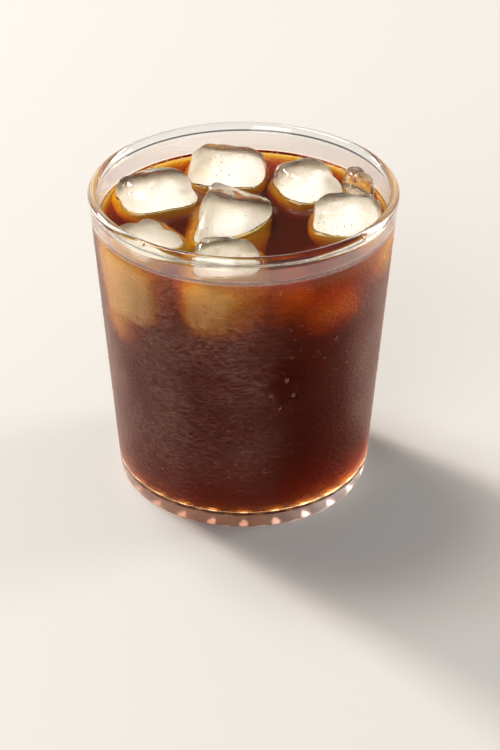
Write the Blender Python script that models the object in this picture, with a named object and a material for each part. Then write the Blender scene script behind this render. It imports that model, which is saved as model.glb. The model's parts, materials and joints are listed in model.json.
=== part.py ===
"""A tumbler of iced coffee: a plain pressed glass, black coffee up to just under the rim, and half-melted
ice cubes that float in it. Metres, +Z up, with the origin at the centre of the foot, on the table."""

import math
from typing import NamedTuple

import bmesh
import bpy
from mathutils import Euler, Matrix, Vector, noise

MM = 0.001

# The glass
HEIGHT = 90.0 * MM
RIM_RADIUS = 43.0 * MM
BEAD_RADIUS = 1.4 * MM
BEAD_PROUD = 0.4 * MM
BEAD_STEPS = 12
NECK_DROP_OUTSIDE = 3.6 * MM
NECK_DROP_INSIDE = 4.5 * MM
WALL_TOP = 2.1 * MM
WALL_LOW = 2.4 * MM
BODY_RADIUS_LOW = 36.6 * MM
HEEL_HEIGHT = 4.8 * MM
HEEL_STEPS = 5
FOOT_RADIUS = 35.0 * MM
FOOT_INNER_RADIUS = 27.5 * MM
PUNT_HEIGHT = 1.2 * MM
PUNT_STEPS = 4
FLOOR_HEIGHT = 4.0 * MM
FLOOR_DOME = 0.4 * MM
FLOOR_STEPS = 2
FLOOR_CORNER = 2.6 * MM
FLOOR_CORNER_STEPS = 4
TURN_STEPS = 64

# The scallops pressed into the foot
SCALLOPS = 22
SCALLOP_RADIUS = 3.0 * MM
SCALLOP_DEPTH = 0.7 * MM
SCALLOP_INNER = 21.5 * MM
SCALLOP_OUTER = 38.0 * MM
SCALLOP_SIDES = 14

# The coffee, and the gap that it keeps to the glass and the ice
LEVEL = 81.1 * MM
MENISCUS_RISE = 0.8 * MM
MENISCUS_REACH = 2.4 * MM
MENISCUS_STEPS = 3
CLEARANCE = 0.3 * MM

# The ice: cuts along an edge, how much wider a cube's top is, and how deep and close its melted hollows are
ICE_CUTS = 5
ICE_TAPER = 0.06
MELT_DEPTH = 0.07
MELT_WAVES = 1.6

SMOOTH_ANGLE = math.radians(35)


class Cube(NamedTuple):
    """Where a cube floats and what is left of it. The centre and edges are in millimetres, the lean in degrees.
    Squareness is the exponent of its rounded form: 2 is a ball, and the higher it is, the sharper the corners."""

    centre: tuple
    edges: tuple
    lean: tuple
    squareness: float
    seed: int


ICE = {
    "ice_back_left": Cube((-24.6, 10.9, 77.3), (21.6, 19.6, 18.4), (6, -2, 20), 3.8, 1),
    "ice_back": Cube((-5.2, 25.5, 77.8), (21.5, 19.5, 20.5), (-5, 5, -8), 4.2, 2),
    "ice_back_right": Cube((17.4, 16.6, 77.6), (16.5, 19.5, 20.0), (5, 6, 24), 3.6, 3),
    "ice_right": Cube((28.6, -4.6, 78.0), (18.5, 19.5, 20.0), (-4, -5, -6), 3.6, 4),
    "ice_middle": Cube((-4.5, -5.1, 76.6), (19.0, 24.5, 16.8), (17, 22, -3), 7.5, 5),
    "ice_front_left": Cube((-25.8, -16.2, 73.6), (15.0, 19.0, 22.0), (-6, 6, 36), 4.4, 6),
    "ice_front": Cube((-5.2, -27.8, 75.4), (18.0, 16.0, 23.5), (6, 4, 8), 3.4, 7),
    "ice_chip": Cube((32.2, 14.4, 80.6), (6.8, 12.0, 14.0), (6, 4, 24), 3.2, 8),
}


def clear_scene():
    for obj in list(bpy.data.objects):
        bpy.data.objects.remove(obj, do_unlink=True)


def material(name, colour, roughness, transmission, ior):
    mat = bpy.data.materials.new(name)
    mat.use_nodes = True
    shader = mat.node_tree.nodes["Principled BSDF"]
    shader.inputs["Base Color"].default_value = (*colour, 1.0)
    shader.inputs["Roughness"].default_value = roughness
    shader.inputs["Metallic"].default_value = 0.0
    shader.inputs["Transmission Weight"].default_value = transmission
    shader.inputs["IOR"].default_value = ior
    return mat


def object_from(name, bm, mat=None):
    mesh = bpy.data.meshes.new(name)
    bm.to_mesh(mesh)
    bm.free()
    if mat is not None:
        mesh.materials.append(mat)
        mesh.shade_smooth()
        mesh.set_sharp_from_angle(angle=SMOOTH_ANGLE)
    obj = bpy.data.objects.new(name, mesh)
    bpy.context.scene.collection.objects.link(obj)
    return obj


def cutter(name, bm):
    """A helper that shapes a piece and isn't one itself."""
    bmesh.ops.recalc_face_normals(bm, faces=bm.faces[:])
    obj = object_from(name, bm)
    obj.hide_render = True
    obj.display_type = "WIRE"
    return obj


def cut_away(obj, tool):
    modifier = obj.modifiers.new(tool.name, "BOOLEAN")
    modifier.operation = "DIFFERENCE"
    modifier.solver = "EXACT"
    modifier.object = tool


def arc(centre, radii, start, end, steps):
    """Points (r, z) along an elliptical arc, with both ends. Angles in degrees, 0 outwards and 90 up."""
    points = []
    for i in range(steps + 1):
        angle = math.radians(start + (end - start) * i / steps)
        points.append((centre[0] + radii[0] * math.cos(angle), centre[1] + radii[1] * math.sin(angle)))
    return points


def turned(points):
    """A closed solid turned about Z from (r, z) points that start and end on the axis."""
    bm = bmesh.new()
    verts = [bm.verts.new((r, 0.0, z)) for r, z in points]
    edges = [bm.edges.new(pair) for pair in zip(verts, verts[1:])]
    bmesh.ops.spin(
        bm, geom=verts + edges, cent=(0, 0, 0), axis=(0, 0, 1), angle=math.tau, steps=TURN_STEPS, use_merge=True
    )
    bmesh.ops.remove_doubles(bm, verts=bm.verts[:], dist=0.001 * MM)
    bmesh.ops.recalc_face_normals(bm, faces=bm.faces[:])
    return bm


def outer_wall_radius(z):
    """The wall's outer radius: it widens evenly from the heel to the bead on the rim."""
    share = (z - HEEL_HEIGHT) / (HEIGHT - 2 * BEAD_RADIUS - HEEL_HEIGHT)
    return BODY_RADIUS_LOW + (RIM_RADIUS - BEAD_PROUD - BODY_RADIUS_LOW) * share


def inner_wall_radius(z):
    """The wall's inner radius: the wall is a little thicker at the foot."""
    share = (z - FLOOR_HEIGHT) / (HEIGHT - FLOOR_HEIGHT)
    return outer_wall_radius(z) - (WALL_LOW + (WALL_TOP - WALL_LOW) * share)


def cavity_outline(inset):
    """The domed floor and its corner, from the axis to the foot of the inner wall, drawn in by the inset."""
    corner_z = FLOOR_HEIGHT + FLOOR_CORNER
    corner_r = inner_wall_radius(corner_z) - FLOOR_CORNER
    floor = []
    for i in range(FLOOR_STEPS):
        share = i / FLOOR_STEPS
        floor.append((corner_r * share, FLOOR_HEIGHT + FLOOR_DOME * (1 - share**2) + inset))
    radius = FLOOR_CORNER - inset
    return floor + arc((corner_r, corner_z), (radius, radius), -90, 0, FLOOR_CORNER_STEPS)


def build_glass(mat):
    underside = arc((0, 0), (FOOT_INNER_RADIUS, PUNT_HEIGHT), 90, 0, PUNT_STEPS)
    heel_radii = (BODY_RADIUS_LOW - FOOT_RADIUS, HEEL_HEIGHT)
    heel = arc((FOOT_RADIUS, HEEL_HEIGHT), heel_radii, -90, 0, HEEL_STEPS)
    neck_z = HEIGHT - NECK_DROP_OUTSIDE
    bead_centre = (RIM_RADIUS - BEAD_RADIUS, HEIGHT - BEAD_RADIUS)
    bead = arc(bead_centre, (BEAD_RADIUS, BEAD_RADIUS), -45, 225, BEAD_STEPS)
    throat_z = HEIGHT - NECK_DROP_INSIDE
    outside = underside + heel + [(outer_wall_radius(neck_z), neck_z)] + bead
    inside = [(inner_wall_radius(throat_z), throat_z)] + cavity_outline(0.0)[::-1]
    glass = object_from("glass", turned(outside + inside), mat)
    cut_away(glass, scallop_rods())


def scallop_rods():
    """Rods laid out like spokes just under the foot: each cuts one shallow scallop across its edge."""
    bm = bmesh.new()
    length = SCALLOP_OUTER - SCALLOP_INNER
    lay = Matrix.Rotation(math.radians(90), 4, "Y")
    place = Matrix.Translation((SCALLOP_INNER + length / 2, 0, SCALLOP_DEPTH - SCALLOP_RADIUS))
    for i in range(SCALLOPS):
        bmesh.ops.create_cone(
            bm,
            cap_ends=True,
            segments=SCALLOP_SIDES,
            radius1=SCALLOP_RADIUS,
            radius2=SCALLOP_RADIUS,
            depth=length,
            matrix=Matrix.Rotation(math.tau * i / SCALLOPS, 4, "Z") @ place @ lay,
        )
    return cutter("scallop_rods", bm)


def melted(point, half, squareness, seed):
    """Where a point of the plain cube, from -1 to 1 each way, lies on the half-melted one."""
    spread = sum(abs(math.sin(c * math.pi / 2)) ** squareness for c in point) ** (1 / squareness)
    unit = Vector([math.sin(c * math.pi / 2) / spread for c in point])
    widen = 1 + ICE_TAPER * unit.z
    unit = Vector((unit.x * widen, unit.y * widen, unit.z))
    wave = noise.noise(unit * MELT_WAVES + Vector((seed * 7.3, seed * 1.9, -seed * 3.1)))
    return unit * half * (1.0 + MELT_DEPTH * wave)


def ice_shape(cube, grow=0.0):
    """One half-melted cube: a rounded box with uneven faces, leaning as it floats, and larger by grow."""
    bm = bmesh.new()
    bmesh.ops.create_cube(bm, size=2.0)
    bmesh.ops.subdivide_edges(bm, edges=bm.edges[:], cuts=ICE_CUTS, use_grid_fill=True)
    turn = Euler([math.radians(a) for a in cube.lean]).to_matrix().to_4x4()
    place = Matrix.Translation(Vector(cube.centre) * MM) @ turn
    half = Vector(cube.edges) * MM / 2
    for v in bm.verts:
        v.co = place @ melted(v.co.copy(), half, cube.squareness, cube.seed)
    bmesh.ops.triangulate(bm, faces=bm.faces[:])
    bmesh.ops.recalc_face_normals(bm, faces=bm.faces[:])
    bm.normal_update()
    for v in bm.verts:
        v.co += v.normal * grow
    return bm


def build_ice(mat):
    for name, cube in ICE.items():
        object_from(name, ice_shape(cube), mat)


def build_coffee(mat):
    """The drink fills the glass to its level, creeps up the wall a little, and leaves room for each cube."""
    wall_r = inner_wall_radius(LEVEL + MENISCUS_RISE) - CLEARANCE
    creep = []
    for i in range(MENISCUS_STEPS + 1):
        share = i / MENISCUS_STEPS
        creep.append((wall_r - MENISCUS_REACH * share, LEVEL + MENISCUS_RISE * (1 - share) ** 2))
    outline = cavity_outline(CLEARANCE) + creep + [(0.0, LEVEL)]
    coffee = object_from("coffee", turned(outline), mat)
    for name, cube in ICE.items():
        cut_away(coffee, cutter("room_for_" + name, ice_shape(cube, CLEARANCE)))


def main():
    clear_scene()
    build_glass(material("clear_glass", (0.95, 0.97, 0.96), 0.03, transmission=1.0, ior=1.52))
    build_coffee(material("black_coffee", (0.10, 0.028, 0.008), 0.04, transmission=0.3, ior=1.34))
    build_ice(material("clear_ice", (0.92, 0.92, 0.90), 0.08, transmission=0.7, ior=1.31))


main()
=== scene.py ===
# %% [markdown]
# # A glass of iced coffee
#
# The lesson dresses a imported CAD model: a pressed glass tumbler, the coffee in it and eight half-melted
# ice cubes. The CAD solids carry the sizes. This script loads them, and puts finer pieces with real
# glass, liquid and ice finishes in their place.

import json
import math
import random
from typing import NamedTuple

import bmesh
import bpy
from mathutils import Euler, Matrix, Vector, noise
from mathutils.bvhtree import BVHTree

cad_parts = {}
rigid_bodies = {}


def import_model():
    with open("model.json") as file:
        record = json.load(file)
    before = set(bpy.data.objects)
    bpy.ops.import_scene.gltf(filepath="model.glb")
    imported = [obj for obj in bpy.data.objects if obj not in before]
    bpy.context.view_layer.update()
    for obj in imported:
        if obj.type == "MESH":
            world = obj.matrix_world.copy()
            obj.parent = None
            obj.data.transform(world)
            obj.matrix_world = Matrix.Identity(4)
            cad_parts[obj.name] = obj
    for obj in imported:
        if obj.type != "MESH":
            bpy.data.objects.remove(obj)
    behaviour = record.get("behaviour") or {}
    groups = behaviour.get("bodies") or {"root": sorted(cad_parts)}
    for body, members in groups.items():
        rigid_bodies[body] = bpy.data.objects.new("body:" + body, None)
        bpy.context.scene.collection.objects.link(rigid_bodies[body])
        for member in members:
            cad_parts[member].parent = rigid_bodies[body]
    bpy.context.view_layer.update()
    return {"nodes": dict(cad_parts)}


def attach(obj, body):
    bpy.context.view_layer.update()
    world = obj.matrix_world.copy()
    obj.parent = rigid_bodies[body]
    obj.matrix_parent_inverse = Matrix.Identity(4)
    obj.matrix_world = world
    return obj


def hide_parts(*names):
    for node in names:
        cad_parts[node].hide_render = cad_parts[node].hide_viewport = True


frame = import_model()
MM = 0.001
print("nodes:", sorted(frame["nodes"]))

# %% [markdown]
# ## The camera
#
# The photograph looks down at the glass from about 30 degrees, from roughly 0.6 m away, with a long lens.
# The distance, height and small turns were solved from the rim, the foot, the wall and the drink's level.
# A camera's own axes are right, up and backwards, so its matrix is built from those three directions.

# %% Camera
PICTURE_HEIGHT = 750
FOCAL_PIXELS = 2083.0
SENSOR_MM = 36.0
CAMERA_DISTANCE = 0.597
CAMERA_ELEVATION = math.radians(30.26)
AIM_HEIGHT = 45.0 * MM
AIM_PIXELS = (-6.4, -48.1)

back = Vector((0, -math.cos(CAMERA_ELEVATION), math.sin(CAMERA_ELEVATION)))
right = Vector((1, 0, 0))
axes = Matrix((right, back.cross(right), back)).transposed()
pan, tilt = (math.atan(offset / FOCAL_PIXELS) for offset in AIM_PIXELS)
turn = axes @ Matrix.Rotation(tilt, 3, "X") @ Matrix.Rotation(pan, 3, "Y")
eye = Vector((0, 0, AIM_HEIGHT)) + back * CAMERA_DISTANCE

camera_data = bpy.data.cameras.new("camera")
camera_data.sensor_fit = "VERTICAL"
camera_data.sensor_height = SENSOR_MM
camera_data.lens = FOCAL_PIXELS / PICTURE_HEIGHT * SENSOR_MM
camera = bpy.data.objects.new("camera", camera_data)
camera.matrix_world = Matrix.Translation(eye) @ turn.to_4x4()
bpy.context.scene.collection.objects.link(camera)
bpy.context.scene.camera = camera
print("lens: %.1f mm, eye: %s" % (camera_data.lens, [round(c, 3) for c in eye]))

# %% [markdown]
# ## Two helpers for materials
#
# Every finish below is a small graph of nodes. One function adds a node, sets its properties and fills its
# sockets, with a number, a colour or another node's output. Colours are written as the hex values a paint
# program shows, so a second function turns them into the linear light that Blender calculates with.


# %% Node and colour helpers
def linear(hex_colour):
    """A linear RGBA colour from an sRGB hex value such as "c8a078"."""
    channels = [int(hex_colour[i : i + 2], 16) / 255 for i in (0, 2, 4)]
    return (*[c / 12.92 if c <= 0.04045 else ((c + 0.055) / 1.055) ** 2.4 for c in channels], 1.0)


def add_node(tree, kind, sockets=None, **properties):
    """Adds a node. sockets maps an input's name or number to a value or to the output that feeds it."""
    made = tree.nodes.new(kind)
    for name, value in properties.items():
        setattr(made, name, value)
    for name, value in (sockets or {}).items():
        if isinstance(value, bpy.types.NodeSocket):
            tree.links.new(value, made.inputs[name])
        else:
            made.inputs[name].default_value = value
    return made


def new_material(name):
    """An empty material and its node tree."""
    material = bpy.data.materials.new(name)
    material.use_nodes = True
    material.node_tree.nodes.clear()
    return material, material.node_tree


# %% [markdown]
# ## The floor and the light
#
# The glass stands on a plain pale table top, a painted board with a very faint mottle. A warm light comes
# from behind and from the left, as sun through a window would, so the ice and the drink's edges glow and
# the shadow falls to the front right. A steeper one helps it, a low one draws the right edge, a wide soft
# one fills the front, and the air is a pale grey.
#
# A real glass also gathers sunlight on the table under its foot, most on the side away from the window.
# Caustics would draw that, but slowly and with much noise, so the board gives off a little light of its own
# in a round patch there, which no one sees but through the glass.

# %% Table top
TABLE_HALF_WIDTH = 2.5
TABLE_MOTTLE = 1 / (6 * MM)
UNDER_GLASS_LIGHT = 1.2
SUNNY_SIDE_LIGHT = 3.2

painted_board, tree = new_material("painted_board")
place = add_node(tree, "ShaderNodeTexCoord")
mottle = add_node(
    tree, "ShaderNodeTexNoise", {"Vector": place.outputs["Object"], "Scale": TABLE_MOTTLE, "Detail": 3.0}
)
shade = add_node(tree, "ShaderNodeMapRange", {"Value": mottle.outputs["Fac"], 3: 0.97, 4: 1.0})
paint = add_node(
    tree,
    "ShaderNodeMix",
    {0: shade.outputs[0], 6: linear("c3c4c3"), 7: linear("d0d1d0")},
    data_type="RGBA",
)
from_axis = add_node(tree, "ShaderNodeVectorMath", {0: place.outputs["Object"]}, operation="LENGTH")
gathered = add_node(
    tree,
    "ShaderNodeMapRange",
    {"Value": from_axis.outputs["Value"], 1: 31 * MM, 2: 36 * MM, 3: UNDER_GLASS_LIGHT, 4: 0.0},
    interpolation_type="SMOOTHSTEP",
)
spread = add_node(tree, "ShaderNodeSeparateXYZ", {0: place.outputs["Object"]})
far_side = add_node(
    tree,
    "ShaderNodeMapRange",
    {"Value": spread.outputs["X"], 1: 4 * MM, 2: 28 * MM, 3: 1.0, 4: SUNNY_SIDE_LIGHT},
    interpolation_type="SMOOTHSTEP",
)
glow_under = add_node(
    tree, "ShaderNodeMath", {0: gathered.outputs[0], 1: far_side.outputs[0]}, operation="MULTIPLY"
)
board = add_node(
    tree,
    "ShaderNodeBsdfPrincipled",
    {
        "Base Color": paint.outputs[2],
        "Roughness": 0.55,
        "Emission Color": linear("ffdccb"),
        "Emission Strength": glow_under.outputs[0],
    },
)
add_node(tree, "ShaderNodeOutputMaterial", {"Surface": board.outputs[0]})

bm = bmesh.new()
bmesh.ops.create_grid(bm, x_segments=1, y_segments=1, size=TABLE_HALF_WIDTH)
table_mesh = bpy.data.meshes.new("table_top")
bm.to_mesh(table_mesh)
bm.free()
table_mesh.materials.append(painted_board)
table_top = bpy.data.objects.new("table_top", table_mesh)
bpy.context.scene.collection.objects.link(table_top)
print("table:", 2 * TABLE_HALF_WIDTH, "m across")


# %% Lights
def soft_light(name, position, aim, size, power, colour):
    """A square area light at a position, turned to face its aim. Metres and watts."""
    data = bpy.data.lights.new(name, "AREA")
    data.size = size
    data.energy = power
    data.color = linear(colour)[:3]
    light = bpy.data.objects.new(name, data)
    light.location = position
    light.rotation_mode = "QUATERNION"
    light.rotation_quaternion = (Vector(aim) - Vector(position)).to_track_quat("-Z", "Y")
    bpy.context.scene.collection.objects.link(light)
    return light


MID_GLASS = (0, 0, 0.06)
soft_light("window", (-1.60, 1.47, 1.30), MID_GLASS, 0.36, 48.0, "fff5ea")
soft_light("high_window", (-0.62, 0.57, 1.60), MID_GLASS, 0.60, 14.0, "fff8f0")
soft_light("front_fill", (-0.70, -1.60, 1.20), MID_GLASS, 1.00, 12.0, "f8f4f6")
soft_light("right_edge", (1.30, 0.45, 0.30), MID_GLASS, 0.50, 14.0, "fff2e2")

world = bpy.data.worlds.new("studio")
world.use_nodes = True
world.node_tree.nodes.clear()
sky = add_node(world.node_tree, "ShaderNodeBackground", {"Color": linear("b4b2b4"), "Strength": 0.40})
add_node(world.node_tree, "ShaderNodeOutputWorld", {"Surface": sky.outputs[0]})
bpy.context.scene.world = world

cycles = bpy.context.scene.cycles
cycles.max_bounces = 16
cycles.transmission_bounces = 16
cycles.glossy_bounces = 8
cycles.transparent_max_bounces = 48
cycles.volume_bounces = 6
cycles.volume_step_rate = 2.5
cycles.caustics_refractive = False
cycles.caustics_reflective = False
bpy.context.scene.view_settings.view_transform = "Standard"
bpy.context.scene.view_settings.look = "Medium High Contrast"

# %% [markdown]
# ## Clear glass
#
# Soda-lime glass, pressed in a mould and fire polished, is perfectly clear and bends light strongly. Its
# surface isn't quite flat, because it set while it flowed, so reflections waver over a few millimetres.
# Blender's lamps can't shine through a refracting surface, so every clear material here hands lamps a
# plain see-through surface instead, through a Light Path node. That lets the window light reach the ice.
#
# Where coffee wets the glass, light goes from one to the other and bends by the ratio of the two, so the
# inside below the drink's level has a material of its own. Its faint reflection is tinted by the drink.


# %% Clear pressed glass
def pass_lamps(tree, surface, tint):
    """The surface as it is to the eye, and see-through with a tint to rays that come from lamps."""
    path = add_node(tree, "ShaderNodeLightPath")
    opening = add_node(tree, "ShaderNodeBsdfTransparent", {"Color": tint})
    return add_node(
        tree, "ShaderNodeMixShader", {0: path.outputs["Is Shadow Ray"], 1: surface, 2: opening.outputs[0]}
    ).outputs[0]


GLASS_IOR, COFFEE_IOR, ICE_IOR = 1.52, 1.34, 1.31
LEVEL = 81.1
GLASS_TINT = linear("fbfcfa")
POLISH_WAVES = 1 / (9 * MM)
POLISH_DEPTH = 0.04 * MM

pressed_glass, tree = new_material("pressed_soda_lime_glass")
place = add_node(tree, "ShaderNodeTexCoord")
waves = add_node(
    tree, "ShaderNodeTexNoise", {"Vector": place.outputs["Object"], "Scale": POLISH_WAVES, "Detail": 1.0}
)
flow = add_node(tree, "ShaderNodeBump", {"Height": waves.outputs["Fac"], "Strength": 0.5, "Distance": POLISH_DEPTH})
clear = add_node(
    tree,
    "ShaderNodeBsdfPrincipled",
    {
        "Base Color": GLASS_TINT,
        "Roughness": 0.0,
        "IOR": GLASS_IOR,
        "Transmission Weight": 1.0,
        "Normal": flow.outputs[0],
    },
)
add_node(tree, "ShaderNodeOutputMaterial", {"Surface": pass_lamps(tree, clear.outputs[0], linear("f4f4f2"))})

wetted_glass, tree = new_material("glass_wetted_by_coffee")
wetted = add_node(
    tree,
    "ShaderNodeBsdfPrincipled",
    {
        "Base Color": GLASS_TINT,
        "Roughness": 0.0,
        "IOR": GLASS_IOR / COFFEE_IOR,
        "Specular Tint": linear("ff7050"),
        "Transmission Weight": 1.0,
    },
)
add_node(tree, "ShaderNodeOutputMaterial", {"Surface": pass_lamps(tree, wetted.outputs[0], linear("f4f4f2"))})

# %% [markdown]
# ## Misted glass
#
# Cold coffee makes the air's moisture settle on the wall outside, up to the drink's level. The mist is
# thousands of drops too small to see one by one: they blur what is behind them and send a little light
# back, which greys the dark drink. Its pale pink colour is painted light, the drink's red glow in the drops,
# and its reflection is tinted red, painted shade that darkens the pale table that it mirrors. It is uneven
# and thinner low down. It is thinner at the front right too, which is partly painted shade, and thicker
# at the right edge, which is partly a painted reflection. It is gone in one patch that a finger has wiped.
# Fine ripples lie across it, where drops have joined in rows: they are a bump, and they also change how
# much light comes back. At the back the sun shines through it.
#
# The blur has one strength outside the wiped patch, because the denoiser draws a false contour wherever a
# blur that varies slowly passes a roughness of about 0.27.

# %% Condensation on the wall
MIST_PATCHES = 1 / (16 * MM)
RIPPLE_SIZE = (1.4 * MM, 1.4 * MM, 0.7 * MM)
RIPPLE_DEPTH = 0.35 * MM
WIPED_PATCHES = (
    ((11.8 * MM, -38.0 * MM, 50.0 * MM), (4.6 * MM, 6.0 * MM, 7.0 * MM)),
    ((27.0 * MM, -24.0 * MM, 15.0 * MM), (15.0 * MM, 15.0 * MM, 12.0 * MM)),
)

misted_glass, tree = new_material("misted_glass")
place = add_node(tree, "ShaderNodeTexCoord")
patches = add_node(
    tree, "ShaderNodeTexNoise", {"Vector": place.outputs["Object"], "Scale": MIST_PATCHES, "Detail": 4.0}
)
edges = add_node(
    tree, "ShaderNodeTexNoise", {"Vector": place.outputs["Object"], "Scale": 4 * MIST_PATCHES, "Detail": 3.0}
)
settled = add_node(
    tree,
    "ShaderNodeMapRange",
    {"Value": patches.outputs["Fac"], 1: 0.35, 2: 0.65, 3: 0.45, 4: 1.0},
    interpolation_type="SMOOTHSTEP",
)
side = add_node(tree, "ShaderNodeSeparateXYZ", {0: place.outputs["Object"]})
drier_low = add_node(
    tree,
    "ShaderNodeMapRange",
    {"Value": side.outputs["Z"], 1: 8 * MM, 2: 30 * MM, 3: 0.3, 4: 1.0},
    interpolation_type="SMOOTHSTEP",
)
covered = []
for centre, size in WIPED_PATCHES:
    patch = add_node(
        tree,
        "ShaderNodeMapping",
        {"Vector": place.outputs["Object"], "Location": centre, "Scale": size},
        vector_type="TEXTURE",
    )
    off_middle = add_node(tree, "ShaderNodeVectorMath", {0: patch.outputs[0]}, operation="LENGTH")
    ragged = add_node(
        tree,
        "ShaderNodeMath",
        {0: edges.outputs["Fac"], 1: 1.4, 2: off_middle.outputs["Value"]},
        operation="MULTIPLY_ADD",
    )
    covered.append(
        add_node(
            tree,
            "ShaderNodeMapRange",
            {"Value": ragged.outputs[0], 1: 1.2, 2: 2.0},
            interpolation_type="SMOOTHSTEP",
        )
    )
unwiped = add_node(
    tree, "ShaderNodeMath", {0: covered[0].outputs[0], 1: covered[1].outputs[0]}, operation="MINIMUM"
)
# Partly painted shade: the mist thins towards the front right, so the wall there is darker.
painted_shade_right = add_node(
    tree,
    "ShaderNodeMapRange",
    {"Value": side.outputs["X"], 1: -4 * MM, 2: 16 * MM, 3: 1.0, 4: 0.06},
    interpolation_type="SMOOTHSTEP",
)
# Partly a painted reflection: the mist thickens again at the right edge, so that edge is lighter.
right_edge = add_node(
    tree,
    "ShaderNodeMapRange",
    {"Value": side.outputs["X"], 1: 26 * MM, 2: 34 * MM},
    interpolation_type="SMOOTHSTEP",
)
across = add_node(
    tree, "ShaderNodeMath", {0: painted_shade_right.outputs[0], 1: right_edge.outputs[0]}, operation="MAXIMUM"
)
lower = add_node(tree, "ShaderNodeMath", {0: settled.outputs[0], 1: drier_low.outputs[0]}, operation="MULTIPLY")
left = add_node(tree, "ShaderNodeMath", {0: lower.outputs[0], 1: across.outputs[0]}, operation="MULTIPLY")
mist_and_painted_shade = add_node(tree, "ShaderNodeMath", {0: left.outputs[0], 1: unwiped.outputs[0]}, operation="MULTIPLY")
stretched = add_node(
    tree, "ShaderNodeMapping", {"Vector": place.outputs["Object"], "Scale": RIPPLE_SIZE}, vector_type="TEXTURE"
)
ripples = add_node(tree, "ShaderNodeTexNoise", {"Vector": stretched.outputs[0], "Scale": 1.0, "Detail": 1.0})
beads = add_node(tree, "ShaderNodeMapRange", {"Value": ripples.outputs["Fac"], 1: 0.35, 2: 0.65, 3: 0.3, 4: 1.7})
beaded = add_node(tree, "ShaderNodeMath", {0: mist_and_painted_shade.outputs[0], 1: beads.outputs[0]}, operation="MULTIPLY")
blur = add_node(tree, "ShaderNodeMapRange", {"Value": covered[0].outputs[0], 3: 0.06, 4: 0.34})
clearness = add_node(tree, "ShaderNodeMapRange", {"Value": beaded.outputs[0], 2: 1.7, 3: 1.0, 4: 0.83})
rippled = add_node(
    tree, "ShaderNodeBump", {"Height": ripples.outputs["Fac"], "Strength": 0.8, "Distance": RIPPLE_DEPTH}
)
# Painted light: the mist's pale pink colour stands for the drink's red light, and its red specular tint is painted
# shade in its reflection.
mist = add_node(
    tree,
    "ShaderNodeBsdfPrincipled",
    {
        "Base Color": linear("f6cbb8"),
        "Roughness": blur.outputs[0],
        "IOR": 1.45,
        "Specular Tint": linear("ff6a4a"),
        "Transmission Weight": clearness.outputs[0],
        "Sheen Weight": 0.03,
        "Sheen Roughness": 0.35,
        "Sheen Tint": linear("fff4ee"),
        "Normal": rippled.outputs[0],
    },
)
glow = add_node(tree, "ShaderNodeBsdfTranslucent", {"Color": linear("fff4ea")})
sunny = add_node(
    tree, "ShaderNodeMapRange", {"Value": side.outputs["Y"], 1: -20 * MM, 2: 25 * MM, 3: 0.05, 4: 0.45}
)
wet = add_node(tree, "ShaderNodeMixShader", {0: sunny.outputs[0], 1: mist.outputs[0], 2: glow.outputs[0]})
add_node(tree, "ShaderNodeOutputMaterial", {"Surface": pass_lamps(tree, wet.outputs[0], linear("e0d8d0"))})

# %% [markdown]
# ## The neck and the foot
#
# Above the drink the cold glass is only faintly fogged, pale pink, and only in front.
# The foot has stood on many tables and fine scuffs dull it. Its colour is painted light: pinkish beside
# the drink and white towards the right, for the window light that the thick foot would carry round inside
# itself, which lamps can't do. Both are the same glass as above with a rough surface, and some of what
# they pass is swapped for plain diffuse light by a lower transmission.

# %% Fogged glass above the drink
fogged_glass, tree = new_material("fogged_glass")
place = add_node(tree, "ShaderNodeTexCoord")
side = add_node(tree, "ShaderNodeSeparateXYZ", {0: place.outputs["Object"]})
front_fog = add_node(
    tree,
    "ShaderNodeMapRange",
    {"Value": side.outputs["Y"], 1: -32 * MM, 2: -2 * MM, 3: 0.76, 4: 1.0},
    interpolation_type="SMOOTHSTEP",
)
front_fog_blur = add_node(
    tree,
    "ShaderNodeMapRange",
    {"Value": side.outputs["Y"], 1: -32 * MM, 2: -2 * MM, 3: 0.20, 4: 0.0},
    interpolation_type="SMOOTHSTEP",
)
fogged = add_node(
    tree,
    "ShaderNodeBsdfPrincipled",
    {
        "Base Color": linear("f4e2dc"),
        "Roughness": front_fog_blur.outputs[0],
        "IOR": GLASS_IOR,
        "Transmission Weight": front_fog.outputs[0],
    },
)
add_node(tree, "ShaderNodeOutputMaterial", {"Surface": pass_lamps(tree, fogged.outputs[0], linear("ece6e2"))})

# %% Scuffed glass of the foot, with painted light
foot_glass_painted_light, tree = new_material("scuffed_foot_glass_painted_light")
place = add_node(tree, "ShaderNodeTexCoord")
side = add_node(tree, "ShaderNodeSeparateXYZ", {0: place.outputs["Object"]})
# Painted light: the foot is pinkish beside the drink and white towards the right, for light that the thick foot
# would carry round.
painted_light_side = add_node(
    tree, "ShaderNodeMapRange", {"Value": side.outputs["X"], 1: 0.0, 2: 28 * MM}, interpolation_type="SMOOTHSTEP"
)
painted_piped_light = add_node(
    tree, "ShaderNodeMix", {0: painted_light_side.outputs[0], 6: linear("d2a48e"), 7: linear("f6f0f4")}, data_type="RGBA"
)
foot_scuffs_and_painted_light = add_node(
    tree,
    "ShaderNodeBsdfPrincipled",
    {"Base Color": painted_piped_light.outputs[2], "Roughness": 0.24, "IOR": GLASS_IOR, "Transmission Weight": 0.50},
)
add_node(tree, "ShaderNodeOutputMaterial", {"Surface": pass_lamps(tree, foot_scuffs_and_painted_light.outputs[0], linear("f4f4f2"))})

# %% [markdown]
# ## Black coffee
#
# Filter coffee is a clear dark liquid: it bends light like water and takes blue and green out of it far
# sooner than red. A Volume Absorption node does just that, so a thin layer is straw yellow, a few
# millimetres are orange, a centimetre is deep red and the middle is nearly black, with no painted colour.
# Its sides and floor lie just inside the glass and bend nothing, as the wetted glass does that already.

# %% Coffee as a liquid
COFFEE_DENSITY = 1200.0
COFFEE_PASSES = (0.908, 0.75, 0.0, 1.0)

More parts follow.
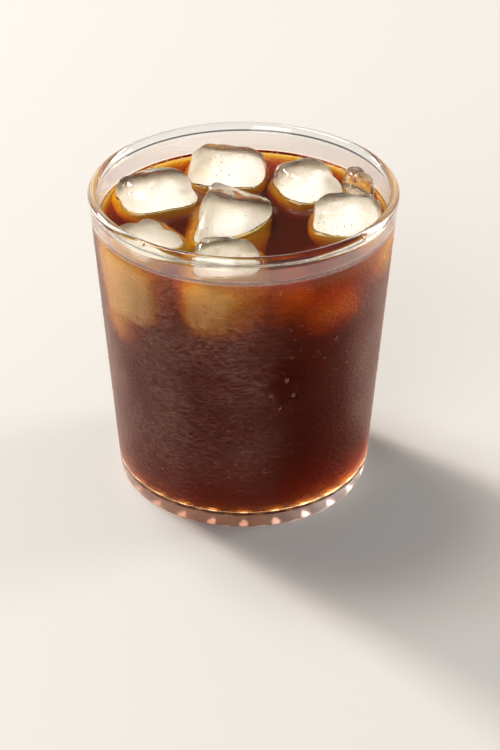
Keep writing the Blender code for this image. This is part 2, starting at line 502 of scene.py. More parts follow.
black_coffee, tree = new_material("black_coffee")
place = add_node(tree, "ShaderNodeTexCoord")
height = add_node(tree, "ShaderNodeSeparateXYZ", {0: place.outputs["Object"]})
bends = add_node(
    tree,
    "ShaderNodeMapRange",
    {"Value": height.outputs["Z"], 1: (LEVEL - 0.2) * MM, 2: (LEVEL - 0.1) * MM, 3: 1.0, 4: COFFEE_IOR},
)
liquid = add_node(
    tree,
    "ShaderNodeBsdfPrincipled",
    {"Base Color": linear("ffffff"), "Roughness": 0.0, "IOR": COFFEE_IOR, "Transmission Weight": 1.0},
)
tree.links.new(bends.outputs[0], liquid.inputs["IOR"])
depth = add_node(tree, "ShaderNodeVolumeAbsorption", {"Color": COFFEE_PASSES, "Density": COFFEE_DENSITY})
add_node(
    tree,
    "ShaderNodeOutputMaterial",
    {"Surface": pass_lamps(tree, liquid.outputs[0], linear("ffffff")), "Volume": depth.outputs[0]},
)

# %% [markdown]
# ## Ice
#
# A cube from a tray freezes from its faces inwards, so its rim is clear and its middle holds the air that
# the water gave up, as a white cloud. Half melted and wet, its skin is smooth with shallow dents and fine
# pits. The skin is one material, with a thin veil inside it whose colour is painted amber light near the
# drink, white higher up. The cloud is another: a volume that a noise pattern thins out towards its edge,
# so it has no hard outline.
# Below the drink's level a cube has a skin that bends nothing, because ice and coffee bend light alike.

# %% Wet ice and its cloud
MELT_DENTS = 1 / (3.5 * MM)
MELT_DENT_DEPTH = 0.35 * MM
ICE_VEIL = 12.0
AMBER_LIGHT = linear("fce6c8")
ICE_PITS = 1 / (1.3 * MM)
ICE_PIT_DEPTH = 0.10 * MM

wet_ice, tree = new_material("wet_ice")
place = add_node(tree, "ShaderNodeTexCoord")
dents = add_node(
    tree, "ShaderNodeTexNoise", {"Vector": place.outputs["Object"], "Scale": MELT_DENTS, "Detail": 2.0}
)
dented = add_node(
    tree, "ShaderNodeBump", {"Height": dents.outputs["Fac"], "Strength": 0.7, "Distance": MELT_DENT_DEPTH}
)
pits = add_node(tree, "ShaderNodeTexNoise", {"Vector": place.outputs["Object"], "Scale": ICE_PITS, "Detail": 1.0})
pitted = add_node(
    tree,
    "ShaderNodeBump",
    {"Height": pits.outputs["Fac"], "Strength": 0.6, "Distance": ICE_PIT_DEPTH, "Normal": dented.outputs[0]},
)
skin = add_node(
    tree,
    "ShaderNodeBsdfPrincipled",
    {
        "Base Color": linear("fdfcf8"),
        "Roughness": 0.03,
        "IOR": ICE_IOR,
        "Transmission Weight": 1.0,
        "Normal": pitted.outputs[0],
    },
)
height = add_node(tree, "ShaderNodeSeparateXYZ", {0: place.outputs["Object"]})
ragged_height = add_node(
    tree, "ShaderNodeMath", {0: dents.outputs["Fac"], 1: 8 * MM, 2: height.outputs["Z"]}, operation="MULTIPLY_ADD"
)
above = add_node(
    tree,
    "ShaderNodeMapRange",
    {"Value": ragged_height.outputs[0], 1: (LEVEL + 3.0) * MM, 2: (LEVEL + 9.0) * MM},
    interpolation_type="SMOOTHSTEP",
)
# Painted amber light: the veil is amber near and below the drink's level and white higher up.
painted_amber_veil = add_node(
    tree, "ShaderNodeMix", {0: above.outputs[0], 6: AMBER_LIGHT, 7: linear("fffdf8")}, data_type="RGBA"
)
haze = add_node(tree, "ShaderNodeVolumeScatter", {"Color": painted_amber_veil.outputs[2], "Density": ICE_VEIL})
add_node(
    tree,
    "ShaderNodeOutputMaterial",
    {"Surface": pass_lamps(tree, skin.outputs[0], linear("fbfbfb")), "Volume": haze.outputs[0]},
)

# %% Ice below the drink's level, and the cloud
sunk_ice, tree = new_material("ice_in_coffee")
hidden_skin = add_node(
    tree,
    "ShaderNodeBsdfPrincipled",
    {"Base Color": linear("fbfcff"), "Roughness": 0.0, "IOR": 1.0, "Transmission Weight": 1.0},
)
haze = add_node(tree, "ShaderNodeVolumeScatter", {"Color": linear("fffdfb"), "Density": ICE_VEIL})
add_node(
    tree,
    "ShaderNodeOutputMaterial",
    {"Surface": pass_lamps(tree, hidden_skin.outputs[0], linear("fbfbfb")), "Volume": haze.outputs[0]},
)

CLOUD_DENSITY = 230.0
CLOUD_WISPS = 1 / (3.2 * MM)

ice_cloud, tree = new_material("cloudy_ice")
place = add_node(tree, "ShaderNodeTexCoord")
from_middle = add_node(
    tree,
    "ShaderNodeMapping",
    {"Vector": place.outputs["Generated"], "Location": (-1.0, -1.0, -1.0), "Scale": (2.0, 2.0, 2.0)},
)
distance = add_node(tree, "ShaderNodeVectorMath", {0: from_middle.outputs[0]}, operation="LENGTH")
wisps = add_node(
    tree, "ShaderNodeTexNoise", {"Vector": place.outputs["Object"], "Scale": CLOUD_WISPS, "Detail": 4.0}
)
uneven = add_node(
    tree,
    "ShaderNodeMath",
    {0: wisps.outputs["Fac"], 1: 3.0, 2: distance.outputs["Value"]},
    operation="MULTIPLY_ADD",
)
thick = add_node(
    tree,
    "ShaderNodeMapRange",
    {"Value": uneven.outputs[0], 1: 1.6, 2: 2.6, 3: CLOUD_DENSITY, 4: 0.0},
    interpolation_type="SMOOTHSTEP",
)
air = add_node(tree, "ShaderNodeVolumeScatter", {"Color": linear("f8f8f2"), "Density": thick.outputs[0]})
add_node(tree, "ShaderNodeOutputMaterial", {"Volume": air.outputs[0]})

# %% [markdown]
# ## Turned shapes
#
# The tumbler and the drink are round, so each is an outline of radius and height points swept about the
# axis by the spin operator. These helpers draw arcs for the outlines, spin them into closed solids, and
# turn a finished mesh into an object.

# %% Outline and object helpers
TURN_STEPS = 352


def arc(centre, radii, start, end, steps):
    """Points (r, z) along an elliptical arc, with both ends. Angles in degrees, 0 outwards and 90 up."""
    angles = [math.radians(start + (end - start) * i / steps) for i in range(steps + 1)]
    return [(centre[0] + radii[0] * math.cos(a), centre[1] + radii[1] * math.sin(a)) for a in angles]


def turned(points, steps=TURN_STEPS):
    """A closed solid turned about Z from (r, z) points in millimetres that start and end on the axis."""
    bm = bmesh.new()
    verts = [bm.verts.new((r * MM, 0.0, z * MM)) for r, z in points]
    edges = [bm.edges.new(pair) for pair in zip(verts, verts[1:])]
    bmesh.ops.spin(
        bm, geom=verts + edges, cent=(0, 0, 0), axis=(0, 0, 1), angle=math.tau, steps=steps, use_merge=True
    )
    bmesh.ops.remove_doubles(bm, verts=bm.verts[:], dist=0.001 * MM)
    face_outwards(bm)
    return bm


def face_outwards(bm):
    """Recalculates the normals, and turns the mesh right side out if its signed volume is still negative."""
    bmesh.ops.recalc_face_normals(bm, faces=bm.faces[:])
    if bm.calc_volume(signed=True) < 0:
        bmesh.ops.reverse_faces(bm, faces=bm.faces[:])


def finish_mesh(name, bm, *materials):
    """A smooth-shaded object from a bmesh, with its materials in order."""
    mesh = bpy.data.meshes.new(name)
    bm.to_mesh(mesh)
    bm.free()
    for material in materials:
        mesh.materials.append(material)
    mesh.shade_smooth()
    made = bpy.data.objects.new(name, mesh)
    bpy.context.scene.collection.objects.link(made)
    return made


def describe(made):
    """Prints a piece's name, size in millimetres and number of triangles."""
    made.data.calc_loop_triangles()
    low = [min(v.co[i] for v in made.data.vertices) / MM for i in range(3)]
    high = [max(v.co[i] for v in made.data.vertices) / MM for i in range(3)]
    triangles = len(made.data.loop_triangles)
    print(made.name, "from", [round(c, 1) for c in low], "to", [round(c, 1) for c in high], triangles, "triangles")


# %% [markdown]
# ## The tumbler
#
# The outline runs from the middle of the underside, round the foot and heel, up the outer wall, over the
# fire-polished bead and down the inner wall to the floor. After the spin, 22 shallow scallops are pressed
# into the foot by lifting its lowest points over imagined rods that lie like spokes. The outer wall gets
# the misted material up to the drink's level and the fogged one on the neck, the foot the scuffed one with
# its painted light, the inside the wetted one up to the drink's level, and the rest stays clear.

# %% Tumbler outline
HEIGHT, RIM_RADIUS, BEAD_RADIUS, BEAD_PROUD = 90.0, 43.0, 1.4, 0.4
NECK_DROP_OUTSIDE, NECK_DROP_INSIDE = 3.6, 4.5
WALL_TOP, WALL_LOW, BODY_RADIUS_LOW, HEEL_HEIGHT, FOOT_RADIUS = 2.1, 2.4, 36.6, 4.8, 35.0
FOOT_INNER_RADIUS, PUNT_HEIGHT = 27.5, 1.2
FLOOR_HEIGHT, FLOOR_DOME, FLOOR_CORNER = 4.0, 0.4, 2.6
MENISCUS_RISE, MENISCUS_REACH = 0.8, 2.4
INTO_WALL = 0.06


def outer_wall_radius(z):
    """The wall's outer radius: it widens evenly from the heel to the bead on the rim."""
    share = (z - HEEL_HEIGHT) / (HEIGHT - 2 * BEAD_RADIUS - HEEL_HEIGHT)
    return BODY_RADIUS_LOW + (RIM_RADIUS - BEAD_PROUD - BODY_RADIUS_LOW) * share


def inner_wall_radius(z):
    """The wall's inner radius: the wall is a little thicker at the foot."""
    share = (z - FLOOR_HEIGHT) / (HEIGHT - FLOOR_HEIGHT)
    return outer_wall_radius(z) - (WALL_LOW + (WALL_TOP - WALL_LOW) * share)


def cavity_outline(swell):
    """The domed floor and its corner, from the axis to the foot of the inner wall, pushed out by swell."""
    corner_z = FLOOR_HEIGHT + FLOOR_CORNER
    corner_r = inner_wall_radius(corner_z) - FLOOR_CORNER
    shares = [i / 12 for i in range(12)]
    floor = [(corner_r * s, FLOOR_HEIGHT + FLOOR_DOME * (1 - s**2) - swell) for s in shares]
    radius = FLOOR_CORNER + swell
    return floor + arc((corner_r, corner_z), (radius, radius), -90, 0, 10)


def wall_line(radius_at, low, high, steps):
    """Points up or down a wall between two heights, with neither end."""
    heights = [low + (high - low) * i / steps for i in range(1, steps)]
    return [(radius_at(z), z) for z in heights]


MIST_TOP, MIST_FOOT = LEVEL + 0.5, 6.5
FOG_TOP = 86.4

underside = arc((0, 0), (FOOT_INNER_RADIUS, PUNT_HEIGHT), 90, 0, 10)
foot = [(FOOT_INNER_RADIUS + (FOOT_RADIUS - FOOT_INNER_RADIUS) * i / 5, 0.0) for i in range(1, 5)]
heel = arc((FOOT_RADIUS, HEEL_HEIGHT), (BODY_RADIUS_LOW - FOOT_RADIUS, HEEL_HEIGHT), -90, 0, 12)
neck = HEIGHT - NECK_DROP_OUTSIDE
mist_edges = [(outer_wall_radius(z), z) for z in (MIST_FOOT, MIST_TOP)]
wall = mist_edges[:1] + wall_line(outer_wall_radius, MIST_FOOT, MIST_TOP, 14) + mist_edges[1:]
bead = arc((RIM_RADIUS - BEAD_RADIUS, HEIGHT - BEAD_RADIUS), (BEAD_RADIUS, BEAD_RADIUS), -45, 225, 20)
throat = HEIGHT - NECK_DROP_INSIDE
creep_top = LEVEL + MENISCUS_RISE
inner = [(inner_wall_radius(throat), throat), (inner_wall_radius(creep_top), creep_top)]
inner += wall_line(inner_wall_radius, creep_top, FLOOR_HEIGHT + FLOOR_CORNER, 14)
outside = underside + foot + heel + wall + [(outer_wall_radius(neck), neck)] + bead
tumbler_outline = outside + inner + cavity_outline(0.0)[::-1]
print("outline points:", len(tumbler_outline))

# %% Spin the tumbler and press its foot
SCALLOPS, SCALLOP_RADIUS, SCALLOP_DEPTH, SCALLOP_SOFTNESS = 22, 3.0, 0.7, 0.12
SCALLOP_INNER = 21.5

bm = turned(tumbler_outline)
lifted = 0
for v in bm.verts:
    radius, height = math.hypot(v.co.x, v.co.y) / MM, v.co.z / MM
    if height > 1.5 or radius < SCALLOP_INNER:
        continue
    pitch = math.tau / SCALLOPS
    aside = math.remainder(math.atan2(v.co.y, v.co.x), pitch)
    across = radius * math.sin(aside)
    if abs(across) < SCALLOP_RADIUS:
        over = SCALLOP_DEPTH - SCALLOP_RADIUS + math.sqrt(SCALLOP_RADIUS**2 - across**2)
        blend = math.sqrt((height - over) ** 2 + SCALLOP_SOFTNESS**2)
        v.co.z = (height + over + blend) / 2 * MM
        lifted += 1
for face in bm.faces:
    middle = face.calc_center_median() / MM
    on_outer_wall = math.hypot(middle.x, middle.y) > outer_wall_radius(middle.z) - 0.5
    within_wall = math.hypot(middle.x, middle.y) < inner_wall_radius(middle.z) + 0.5
    in_cavity = within_wall and middle.z > FLOOR_HEIGHT - 0.5
    if on_outer_wall and MIST_FOOT < middle.z < MIST_TOP:
        face.material_index = 1
    elif on_outer_wall and MIST_TOP < middle.z < FOG_TOP:
        face.material_index = 4
    elif middle.z < HEEL_HEIGHT and math.hypot(middle.x, middle.y) > SCALLOP_INNER and not in_cavity:
        face.material_index = 3
    elif in_cavity and middle.z < LEVEL + MENISCUS_RISE:
        face.material_index = 2
tumbler = finish_mesh("tumbler", bm, pressed_glass, misted_glass, wetted_glass, foot_glass_painted_light, fogged_glass)
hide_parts("glass")
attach(tumbler, "root")
describe(tumbler)
print("points lifted by the scallops:", lifted)

# %% [markdown]
# ## Ice cubes
#
# Each cube starts as a box that the subdivide operator cuts into a fine grid. Every point is then pushed
# onto a rounded box, a shape between a ball and a cube, with a slow noise that makes its faces uneven, as
# melting does. The table gives what is left of each cube: its place, edges, lean and how square it still is.


# %% The cubes that float
class Cube(NamedTuple):
    """Centre and edges in millimetres, lean in degrees, squareness from 2 for a ball upwards, and a seed."""

    centre: tuple
    edges: tuple
    lean: tuple
    squareness: float
    seed: int


FLOATING = {
    "ice_back_left": Cube((-24.6, 10.9, 77.3), (21.6, 19.6, 18.4), (6, -2, 20), 3.8, 1),
    "ice_back": Cube((-5.2, 25.5, 77.8), (21.5, 19.5, 20.5), (-5, 5, -8), 4.2, 2),
    "ice_back_right": Cube((17.4, 16.6, 77.6), (16.5, 19.5, 20.0), (5, 6, 24), 3.6, 3),
    "ice_right": Cube((28.6, -4.6, 78.0), (18.5, 19.5, 20.0), (-4, -5, -6), 3.6, 4),
    "ice_middle": Cube((-4.5, -5.1, 76.6), (19.0, 24.5, 16.8), (17, 22, -3), 7.5, 5),
    "ice_front_left": Cube((-25.8, -16.2, 73.6), (15.0, 19.0, 22.0), (-6, 6, 36), 4.4, 6),
    "ice_front": Cube((-5.2, -27.8, 75.4), (18.0, 16.0, 23.5), (6, 4, 8), 3.4, 7),
    "ice_chip": Cube((32.2, 14.4, 80.6), (6.8, 12.0, 14.0), (6, 4, 24), 3.2, 8),
}
SUNK = {
    "sunk_ice_right": Cube((18.6, -20.4, 67.0), (21.0, 17.0, 15.0), (8, -6, 42), 2.8, 9),
    "sunk_ice_left": Cube((-27.5, -13.0, 58.5), (13.0, 13.0, 14.0), (20, 12, 15), 3.2, 10),
    "sunk_ice_front": Cube((10.6, -27.6, 71.0), (13.0, 11.0, 13.0), (8, -10, 15), 3.0, 11),
}
ICE_TAPER, MELT_DEPTH, MELT_WAVES = 0.06, 0.07, 1.6
FINE_CUTS = 21
RIDGE_SIZE, RIDGE_DEPTH = 5.0, 0.45


def melted(point, half, squareness, seed):
    """Where a point of the plain cube, from -1 to 1 each way, lies on the half-melted one."""
    spread = sum(abs(math.sin(c * math.pi / 2)) ** squareness for c in point) ** (1 / squareness)
    unit = Vector([math.sin(c * math.pi / 2) / spread for c in point])
    widen = 1 + ICE_TAPER * unit.z
    unit = Vector((unit.x * widen, unit.y * widen, unit.z))
    wave = noise.noise(unit * MELT_WAVES + Vector((seed * 7.3, seed * 1.9, -seed * 3.1)))
    return unit * half * (1.0 + MELT_DEPTH * wave)


def ice_shape(cube, grow=0.0, cuts=FINE_CUTS):
    """One half-melted cube as a bmesh, larger by grow millimetres all round."""
    bm = bmesh.new()
    bmesh.ops.create_cube(bm, size=2.0)
    bmesh.ops.subdivide_edges(bm, edges=bm.edges[:], cuts=cuts, use_grid_fill=True)
    lean = Euler([math.radians(a) for a in cube.lean]).to_matrix().to_4x4()
    put = Matrix.Translation(Vector(cube.centre) * MM) @ lean
    half = Vector(cube.edges) * MM / 2
    for v in bm.verts:
        v.co = put @ melted(v.co.copy(), half, cube.squareness, cube.seed)
    face_outwards(bm)
    bm.normal_update()
    for v in bm.verts:
        ridge = 1 - 2 * abs(noise.noise(v.co / (RIDGE_SIZE * MM) + Vector((0, 0, cube.seed))))
        v.co += v.normal * (grow - RIDGE_DEPTH * (1 - ridge)) * MM
    return bm


# %% Skins of the cubes
for name, cube in {**FLOATING, **SUNK}.items():
    bm = ice_shape(cube)
    everything = bm.verts[:] + bm.edges[:] + bm.faces[:]
    bmesh.ops.bisect_plane(bm, geom=everything, plane_co=(0, 0, LEVEL * MM), plane_no=(0, 0, 1))
    for face in bm.faces:
        face.material_index = int(face.calc_center_median().z < LEVEL * MM)
    skin_piece = finish_mesh(name + "_skin", bm, wet_ice, sunk_ice)
    if name in FLOATING:
        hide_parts(name)
    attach(skin_piece, "root")
    describe(skin_piece)

# %% [markdown]
# ## The clouds in the ice
#
# The cloud sits near the middle of each cube, and often to one side. Its mesh is a smaller and more uneven
# copy of the cube that holds the cloud's volume, so light wanders about in it as among tiny bubbles. The
# clear chip has none.

# %% Meshes of the clouds
CLOUD_CUTS = 15
CLOUD_SHARE = 0.74
CLOUD_SHIFT = {
    "ice_back_left": (1.6, 0, 0.2),
    "ice_back": (3.2, -0.5, 0.2),
    "ice_back_right": (1.2, 0, 0.2),
    "ice_right": (0.4, 0, 0.2),
    "ice_middle": (1.2, 0, 0.2),
    "ice_front_left": (-0.8, -0.6, -0.4),
    "ice_front": (0, -1.2, -0.6),
    "sunk_ice_right": (0, 0, 0),
    "sunk_ice_left": (0, 0, 0),
    "sunk_ice_front": (0, 0, 0),
}


def cloud_shape(cube, share, shift):
    """The cube at a share of its size and shifted, pushed about by a coarse and a fine noise."""
    bm = bmesh.new()
    bmesh.ops.create_cube(bm, size=2.0)
    bmesh.ops.subdivide_edges(bm, edges=bm.edges[:], cuts=CLOUD_CUTS, use_grid_fill=True)
    lean = Euler([math.radians(a) for a in cube.lean]).to_matrix().to_4x4()
    put = Matrix.Translation((Vector(cube.centre) + Vector(shift)) * MM) @ lean
    half = Vector(cube.edges) * MM / 2 * share
    for v in bm.verts:
        point = melted(v.co.copy(), half, 2.6, cube.seed + share)
        seedling = Vector((cube.seed * 3.7, share * 11, cube.seed))
        rough = noise.noise(point / (4 * MM) + seedling) + 0.4 * noise.noise(point / (1.6 * MM) + seedling)
        v.co = put @ (point * (1 + 0.05 * rough))
    face_outwards(bm)
    return bm


for name, cube in {**FLOATING, **SUNK}.items():
    if name not in CLOUD_SHIFT:
        continue
    cloud_piece = finish_mesh(name + "_cloud", cloud_shape(cube, CLOUD_SHARE, CLOUD_SHIFT[name]), ice_cloud)
    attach(cloud_piece, "root")
    describe(cloud_piece)

# %% [markdown]
# ## The coffee
#
# The drink fills the inside of the glass and reaches just into the wall, so no film of air shows between
# them. Its surface creeps up the wall and up every cube, the meniscus, which is found here by asking a
# search tree for the distance to the nearest ice.

# %% Spin the drink
SURFACE_STEPS = 60
CREEP_STEPS = 8

wall_top = inner_wall_radius(LEVEL + MENISCUS_RISE)
creep = [(wall_top + INTO_WALL, LEVEL + MENISCUS_RISE)]
for i in range(CREEP_STEPS + 1):
    share = i / CREEP_STEPS
    creep.append((wall_top - MENISCUS_REACH * share, LEVEL + MENISCUS_RISE * (1 - share) ** 2))
surface_r = creep[-1][0]
surface = [(surface_r * (1 - i / SURFACE_STEPS), LEVEL) for i in range(1, SURFACE_STEPS + 1)]
side = wall_line(
    lambda z: inner_wall_radius(z) + INTO_WALL, FLOOR_HEIGHT + FLOOR_CORNER, LEVEL + MENISCUS_RISE, 14
)
drink = turned(cavity_outline(INTO_WALL) + side + creep + surface, 256)

trees = []
for cube in FLOATING.values():
    bm = ice_shape(cube)
    trees.append(BVHTree.FromBMesh(bm))
    bm.free()
for v in drink.verts:
    if v.co.z < (LEVEL - 0.01) * MM:
        continue
    gap = min(near[3] for near in (near_tree.find_nearest(v.co) for near_tree in trees)) / MM
    if gap < MENISCUS_REACH:
        v.co.z = max(v.co.z, (LEVEL + MENISCUS_RISE * (1 - gap / MENISCUS_REACH) ** 2) * MM)
coffee = finish_mesh("iced_coffee", drink, black_coffee)
describe(coffee)

# %% [markdown]
# ## Room for the ice, and its melt water
#
# A melting cube hangs in a coat of its own paler water, which is why it has a golden halo in the drink. So
# each cube is cut out of the drink with some room round it below the surface, and a faintly milky volume
# fills that room. Against the wall only a thin film of coffee is left, thinnest before the two front cubes,
# which show almost white and gold through the glass.
#
# One Boolean cuts all the rooms at once, because the rooms overlap and cuts one after another can swallow
# the drink. The volume that is left is checked, and if it is wrong the rooms are made smaller and cut anew.

# %% Cut the cubes out of the drink
INTO_ICE = 0.08
MELT_WATER = 1.4
MELT_WATER_OF = {
    "ice_front_left": 3.4,
    "ice_front": 3.4,
    "ice_chip": 0.6,
    "sunk_ice_right": 1.0,
    "sunk_ice_left": 1.2,
    "sunk_ice_front": 1.2,
}
COFFEE_FILM = 0.60
COFFEE_FILM_OF = {"ice_front_left": 0.06, "ice_front": 0.14, "sunk_ice_left": 0.50}
MELT_MILKINESS = 220.0


def drink_volume():
    """The drink's volume in cubic centimetres."""
    bm = bmesh.new()
    bm.from_mesh(coffee.data)
    volume = bm.calc_volume() * 1e6
    bm.free()
    return volume


def room_shape(name, cube, inset, melt_share=1.0):
    """The cube and the water that it has melted round itself below the drink's surface, less an inset."""
    bm = ice_shape(cube, -inset)
    bm.normal_update()
    for v in bm.verts:
        sunk = min(max((LEVEL - 0.4 - v.co.z / MM) / 2.2, 0.0), 1.0)
        away = Vector((v.normal.x, v.normal.y, min(v.normal.z, 0.0)))
        v.co += away * MELT_WATER_OF.get(name, MELT_WATER) * melt_share * sunk * MM
        film = COFFEE_FILM_OF.get(name, COFFEE_FILM - 0.03 * cube.seed)
        most = (inner_wall_radius(v.co.z / MM) - film - inset) * MM
        pull = min(most / max(math.hypot(v.co.x, v.co.y), 0.001), 1.0)
        v.co.x, v.co.y = v.co.x * pull, v.co.y * pull
    return bm


melt_water, tree = new_material("milky_melt_water")
milk = add_node(tree, "ShaderNodeVolumeScatter", {"Color": linear("fff4e2"), "Density": MELT_MILKINESS})
add_node(tree, "ShaderNodeOutputMaterial", {"Volume": milk.outputs[0]})

uncut, before = coffee.data.copy(), drink_volume()
for melt_share in (1.0, 0.93, 0.86, 0.7, 0.5, 0.0):
    rooms = bpy.data.collections.new("rooms_for_ice")
    for name, cube in {**FLOATING, **SUNK}.items():
        cutter = finish_mesh("room_for_" + name, room_shape(name, cube, INTO_ICE, melt_share))
        bpy.context.scene.collection.objects.unlink(cutter)
        rooms.objects.link(cutter)
    cut = coffee.modifiers.new("rooms", "BOOLEAN")
    cut.operation = "DIFFERENCE"
    cut.solver = "EXACT"
    cut.operand_type = "COLLECTION"
    cut.collection = rooms
    bpy.context.view_layer.objects.active = coffee
    with bpy.context.temp_override(object=coffee, active_object=coffee):
        bpy.ops.object.modifier_apply(modifier=cut.name)
    for cutter in rooms.objects[:]:
        bpy.data.objects.remove(cutter, do_unlink=True)
    bpy.data.collections.remove(rooms)
    left_over = round(drink_volume(), 1)
    print("coffee with ice cut out", left_over, "of", round(before, 1), "cm3, melt share", melt_share)
    if before - 120 < drink_volume() < before - 30:
        break
    coffee.data = uncut.copy()

# %% Fill the rooms with melt water
for name, cube in {**FLOATING, **SUNK}.items():
    bm = room_shape(name, cube, INTO_ICE + 0.05, melt_share)
    everything = bm.verts[:] + bm.edges[:] + bm.faces[:]
    top = {"plane_co": (0, 0, (LEVEL - 0.5) * MM), "plane_no": (0, 0, 1), "clear_outer": True}
    cut_open = bmesh.ops.bisect_plane(bm, geom=everything, **top)["geom_cut"]
    bmesh.ops.holes_fill(bm, edges=[e for e in cut_open if isinstance(e, bmesh.types.BMEdge)])
    face_outwards(bm)
    melt = finish_mesh(name + "_melt_water", bm, melt_water)
    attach(melt, "root")
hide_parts("coffee")
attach(coffee, "root")
describe(coffee)

# %% [markdown]
# ## Haze in the drink
#
# Coffee isn't quite clear: oils and the finest grounds hang in it and send a little light back, which is
# why its edges glow. That haze is a volume of its own inside the drink, so the liquid keeps its plain one.

# %% Fine grounds in the drink
HAZE_DENSITY = 30.0
HAZE_COLOUR = (1.0, 0.4, 0.12, 1.0)
HAZE_INSET = 0.04

fine_grounds, tree = new_material("fine_coffee_grounds")
grounds = add_node(tree, "ShaderNodeVolumeScatter", {"Color": HAZE_COLOUR, "Density": HAZE_DENSITY})
add_node(tree, "ShaderNodeOutputMaterial", {"Volume": grounds.outputs[0]})
bm = bmesh.new()
bm.from_mesh(coffee.data)
bm.normal_update()
for v in bm.verts:
    v.co -= v.normal * HAZE_INSET * MM
coffee_haze = finish_mesh("iced_coffee_haze", bm, fine_grounds)
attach(coffee_haze, "root")
describe(coffee_haze)

# %% [markdown]
# ## Drops on the glass and bubbles at its edge
#
# Where the mist grows thick its drops join, and the largest slide down and leave a bead at the end of each
# track. These are real pieces: balls pressed flat, half sunk in the wall. They lie thickest just under the
# drink's level, where the wall is coldest. Small bubbles from the pouring ring the drink along the glass,
# over a dark band of painted shade that stands for the dark line the meniscus shows there, and each
# cube holds some of the air that it froze round.

# %% Water and air
# Painted light: a pale pink diffuse share makes each drop a lighter speck, for the bright room that the drops
# refract.
water_drop, tree = new_material("water_drops")
water = add_node(
    tree,
    "ShaderNodeBsdfPrincipled",
    {"Base Color": linear("f0c8b4"), "Roughness": 0.02, "IOR": 1.25, "Transmission Weight": 0.9},
)
add_node(tree, "ShaderNodeOutputMaterial", {"Surface": pass_lamps(tree, water.outputs[0], linear("ffffff"))})

air_bubble, tree = new_material("air_bubbles")
air = add_node(
    tree,
    "ShaderNodeBsdfPrincipled",
    {"Base Color": linear("fffaf2"), "Roughness": 0.05, "IOR": 1.2, "Transmission Weight": 0.65},
)
add_node(tree, "ShaderNodeOutputMaterial", {"Surface": pass_lamps(tree, air.outputs[0], linear("ffffff"))})

# %% Drops on the outer wall
DROPS = 1000
DROP_RADIUS = (0.14, 0.36)
BIG_DROPS = [
    (-134.6, 64.8, 0.75), (-127.6, 59.3, 0.8), (-73.0, 50.5, 0.6), (-79.0, 46.0, 0.55), (-70.0, 45.2, 0.5),
    (-110.0, 66.0, 0.5), (-52.0, 60.0, 0.5), (-38.0, 47.0, 0.6), (-150.0, 55.0, 0.6), (-95.0, 62.5, 0.5),
]


def ball(u_segments, v_segments):
    """A ball of radius 1 to copy, as a mesh."""
    bm = bmesh.new()
    bmesh.ops.create_uvsphere(bm, u_segments=u_segments, v_segments=v_segments, radius=1.0)
    mesh = bpy.data.meshes.new("ball")
    bm.to_mesh(mesh)
    bm.free()
    return mesh


def put_copy(bm, mesh, matrix):
    """Adds a copy of a small mesh to a bmesh, moved by a matrix. An operator on the whole would be slow."""
    start = len(bm.verts)
    bm.from_mesh(mesh)
    bm.verts.ensure_lookup_table()
    for i in range(start, len(bm.verts)):
        bm.verts[i].co = matrix @ bm.verts[i].co


def add_drop(bm, angle, z, radius, tall=1.15):
    """A flattened ball of water on the outer wall. Angle in degrees, the rest in millimetres."""
    out = Matrix.Rotation(math.radians(angle), 4, "Z")
    put = Matrix.Translation((outer_wall_radius(z) * MM, 0, z * MM))
    press = Matrix.Diagonal((0.45 * radius * MM, radius * MM, tall * radius * MM, 1.0))
    put_copy(bm, small_ball, out @ put @ press)


small_ball = ball(8, 5)
random.seed(7)
bm = bmesh.new()
for angle, z, radius in BIG_DROPS:
    add_drop(bm, angle, z, radius, 1.5)
placed = 0
while placed < DROPS:
    angle, z = random.uniform(-180, 180), 8 + 72 * random.random() ** 0.6
    clumped = noise.noise(Vector((angle / 14, z / 7, 0)))
    if clumped > random.uniform(-0.5, 0.4):
        add_drop(bm, angle, z, random.uniform(*DROP_RADIUS) * random.uniform(0.7, 1.0))
        placed += 1
wall_drops = finish_mesh("drops_on_wall", bm, water_drop)
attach(wall_drops, "root")
describe(wall_drops)

# %% A dark band of painted shade at the drink's edge
EDGE_SHADE_RADIUS = 0.16

centre_line = (inner_wall_radius(creep_top) - 0.10) * MM
bm = bmesh.new()
upright = Matrix.Translation((centre_line, 0, creep_top * MM)) @ Matrix.Rotation(math.radians(90), 4, "X")
bmesh.ops.create_circle(bm, segments=8, radius=EDGE_SHADE_RADIUS * MM, matrix=upright)
whole_turn = {"cent": (0, 0, 0), "axis": (0, 0, 1), "angle": math.tau, "steps": 176, "use_merge": True}
bmesh.ops.spin(bm, geom=bm.verts[:] + bm.edges[:], **whole_turn)
bmesh.ops.remove_doubles(bm, verts=bm.verts[:], dist=0.001 * MM)
for v in bm.verts:
    middle = Vector((v.co.x, v.co.y, 0)).normalized() * centre_line + Vector((0, 0, creep_top * MM))
    thin = 0.25 + 0.75 * min(max(0.6 - v.co.y / (30 * MM), 0.0), 1.0)
    v.co = middle + (v.co - middle) * thin * (1 + 0.35 * noise.noise(v.co / (1.5 * MM)))
face_outwards(bm)
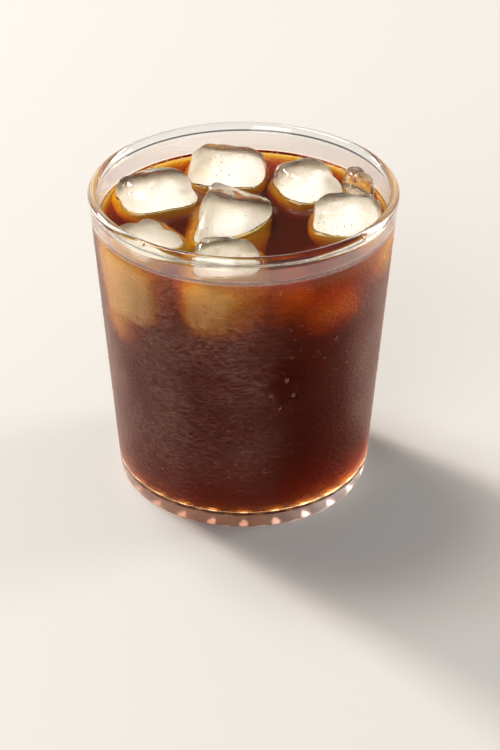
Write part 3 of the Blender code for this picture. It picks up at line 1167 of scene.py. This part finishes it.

# Painted shade: a dark brown band along the drink's edge, thickest at the front, for the dark line that the
# meniscus shows through the glass.
painted_edge_shade, tree = new_material("painted_edge_shade")
place = add_node(tree, "ShaderNodeTexCoord")
specks = add_node(tree, "ShaderNodeTexNoise", {"Vector": place.outputs["Object"], "Scale": 1 / (0.8 * MM)})
shade_browns = add_node(
    tree, "ShaderNodeMix", {0: specks.outputs["Fac"], 6: linear("1c0c06"), 7: linear("5a3018")}, data_type="RGBA"
)
shade_band = add_node(tree, "ShaderNodeBsdfPrincipled", {"Base Color": shade_browns.outputs[2], "Roughness": 0.35})
add_node(tree, "ShaderNodeOutputMaterial", {"Surface": shade_band.outputs[0]})
edge_shade_line = finish_mesh("painted_edge_shade_line", bm, painted_edge_shade)
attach(edge_shade_line, "root")
describe(edge_shade_line)

# %% Drops on the rim and bubbles round the drink
bm = bmesh.new()
for x, y, z, radius in ((4.7, -42.0, 89.1, 0.6), (31.6, -28.2, 89.1, 0.8), (-26.0, -33.0, 89.1, 0.4)):
    put_copy(bm, ball(12, 8), Matrix.Translation((x * MM, y * MM, z * MM)) @ Matrix.Scale(radius * MM, 4))
rim_drops = finish_mesh("drops_on_rim", bm, water_drop)
bm = bmesh.new()
for i in range(150):
    angle = random.gauss(-85, 26) if i < 90 else random.uniform(-180, 180)
    radius = random.uniform(0.16, 0.40)
    reach = (inner_wall_radius(LEVEL) - radius * random.uniform(0.9, 2.4)) * MM
    put = Matrix.Rotation(math.radians(angle), 4, "Z") @ Matrix.Translation((reach, 0, (LEVEL + 0.45) * MM))
    put_copy(bm, small_ball, put @ Matrix.Scale(radius * MM, 4))
ring_bubbles = finish_mesh("bubbles_round_drink", bm, air_bubble)
for piece, slot in ((rim_drops, "clear_glass"), (ring_bubbles, "black_coffee")):
    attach(piece, "root")
    describe(piece)

# %% Air bubbles in the ice
BUBBLES_PER_CUBE = 90

tiny_ball = ball(6, 4)
bm = bmesh.new()
for name, cube in FLOATING.items():
    lean = Euler([math.radians(a) for a in cube.lean]).to_matrix()
    for i in range(BUBBLES_PER_CUBE):
        way = Vector([random.gauss(0, 1) for c in range(3)]).normalized() * random.uniform(0.25, 0.86)
        spot = Vector(cube.centre) + lean @ Vector([w * e / 2 for w, e in zip(way, cube.edges)])
        put_copy(bm, tiny_ball, Matrix.Translation(spot * MM) @ Matrix.Scale(random.uniform(0.10, 0.26) * MM, 4))
ice_bubbles = finish_mesh("bubbles_in_ice", bm, air_bubble)
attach(ice_bubbles, "root")
describe(ice_bubbles)
